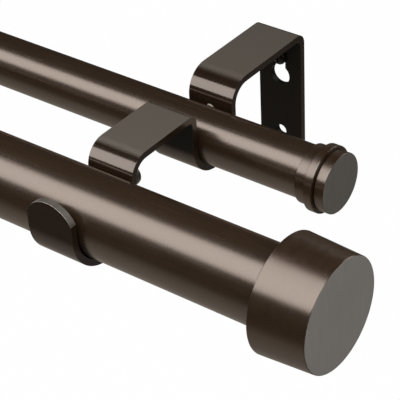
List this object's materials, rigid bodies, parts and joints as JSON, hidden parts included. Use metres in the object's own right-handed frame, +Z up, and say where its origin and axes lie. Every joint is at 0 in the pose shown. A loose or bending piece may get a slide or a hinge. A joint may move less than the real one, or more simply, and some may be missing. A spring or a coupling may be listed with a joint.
{
  "type": "double curtain pole",
  "caption": "Telescopic double curtain pole: a thick front tube and a thin back tube held off the wall by bent strip brackets, with capped ends.",
  "frame": {"origin": "on the wall face of the right bracket, midway between its two fixing screws' heights", "axes": "+X along the poles to their right end, +Y into the wall, +Z up"},
  "size_m": [0.711, 0.1471, 0.06],
  "materials": {
    "bracket": "satin bronze lacquer on strip steel",
    "lock_screw": "bronze plated, bright tip",
    "wall_screw": "dark zinc",
    "outer_tube": "satin bronze lacquer on steel tube",
    "inner_tube": "satin bronze lacquer on steel tube",
    "front_cap": "satin bronze lacquer",
    "back_cap": "satin bronze lacquer",
    "adapter": "matt dark plastic",
    "sleeve": "matt dark plastic"
  },
  "bodies": {
    "root": {"right_bracket": "bracket", "left_bracket": "bracket", "front_right_lock_screw": "lock_screw", "back_right_lock_screw": "lock_screw", "front_left_lock_screw": "lock_screw", "back_left_lock_screw": "lock_screw", "right_wall_screw": "wall_screw", "left_wall_screw": "wall_screw", "front_outer_tube": "outer_tube", "back_outer_tube": "outer_tube", "front_right_end_cap": "front_cap", "back_right_end_cap": "back_cap", "front_right_cap_adapter": "adapter", "back_right_cap_plug": "adapter", "front_mouth_sleeve": "sleeve", "back_mouth_sleeve": "sleeve"},
    "front_rod": {"front_inner_tube": "inner_tube", "front_left_end_cap": "front_cap", "front_left_cap_adapter": "adapter", "front_guide_bush": "sleeve"},
    "back_rod": {"back_inner_tube": "inner_tube", "back_left_end_cap": "back_cap", "back_left_cap_adapter": "adapter", "back_guide_bush": "sleeve"}
  },
  "joints": [
    {"name": "front_rod_extend", "type": "slide", "parent": "root", "child": "front_rod", "axis": [-1, 0, 0], "range_m": [0, 0.508]},
    {"name": "back_rod_extend", "type": "slide", "parent": "root", "child": "back_rod", "axis": [-1, 0, 0], "range_m": [0, 0.508]}
  ]
}
